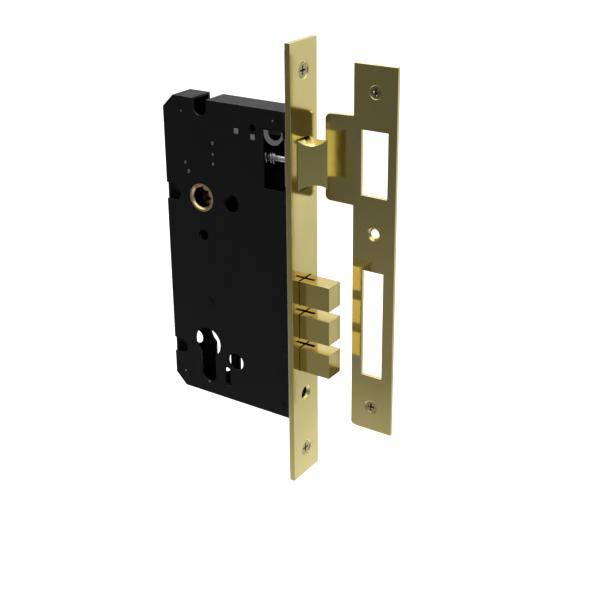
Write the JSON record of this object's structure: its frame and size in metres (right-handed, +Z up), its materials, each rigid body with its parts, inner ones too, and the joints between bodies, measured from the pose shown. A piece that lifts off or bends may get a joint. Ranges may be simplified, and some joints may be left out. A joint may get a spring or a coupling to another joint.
{
  "type": "mortise lock",
  "caption": "Mortise lock with a sprung latch, stacked dead bolts, a profile cylinder opening and a lipped strike plate standing beside it.",
  "frame": {"origin": "spindle axis on the mid-plane of the case", "axes": "+X out of the door's edge, +Z up, +Y away from the cover plate"},
  "size_m": [0.1271, 0.0422, 0.24],
  "materials": {
    "brass_polished": "polished",
    "black_coat": "satin",
    "zinc_plate": "satin",
    "nickel_rod": "polished",
    "bronze_cast": "polished",
    "screw_steel": "polished",
    "spring_wire": "polished"
  },
  "bodies": {
    "lock_case": {"faceplate": "brass_polished", "inner_forend": "zinc_plate", "faceplate_screws": "screw_steel", "case_tray": "black_coat", "case_cover": "black_coat", "case_pillars": "black_coat", "latch_guide": "nickel_rod", "bolt_guide_post": "zinc_plate", "tumbler_pivot": "zinc_plate", "handle_spring": "spring_wire", "latch_spring": "spring_wire", "tumbler_spring": "spring_wire"},
    "spindle_follower": {"follower": "bronze_cast"},
    "return_plunger": {"handle_plunger": "zinc_plate"},
    "latch": {"latch_head": "brass_polished", "latch_tail": "nickel_rod", "latch_yoke": "zinc_plate", "latch_clip": "spring_wire"},
    "dead_bolt": {"bolt_upper": "brass_polished", "bolt_middle": "brass_polished", "bolt_lower": "brass_polished", "bolt_carrier": "zinc_plate", "bolt_rivets": "zinc_plate"},
    "bolt_tumbler": {"tumbler": "zinc_plate"},
    "strike": {"strike_plate": "brass_polished", "strike_screws": "screw_steel"}
  },
  "joints": [
    {"name": "follower_turn", "type": "hinge", "parent": "lock_case", "child": "spindle_follower", "pos_m": [0, 0, 0], "axis": [0, -1, 0], "range_deg": [0, 37]},
    {"name": "latch_slide", "type": "slide", "parent": "lock_case", "child": "latch", "axis": [1, 0, 0], "range_m": [-0.0111, 0], "deforming": ["latch_spring"]},
    {"name": "plunger_slide", "type": "slide", "parent": "lock_case", "child": "return_plunger", "axis": [1, 0, 0], "range_m": [0, 0.0091], "deforming": ["handle_spring"]},
    {"name": "bolt_throw", "type": "slide", "parent": "lock_case", "child": "dead_bolt", "axis": [1, 0, 0], "range_m": [-0.018, 0]},
    {"name": "tumbler_drop", "type": "hinge", "parent": "lock_case", "child": "bolt_tumbler", "pos_m": [-0.013, 0, -0.052], "axis": [0, 1, 0], "range_deg": [-0.5, 4.5], "deforming": ["tumbler_spring"]},
    {"name": "strike_apart", "type": "slide", "parent": "lock_case", "child": "strike", "axis": [1, 0, 0], "range_m": [0, 0.03]}
  ],
  "couplings": [
    {"joint": "latch_slide", "follows": "follower_turn", "m_per_rad": -0.017},
    {"joint": "plunger_slide", "follows": "follower_turn", "m_per_rad": 0.014}
  ]
}
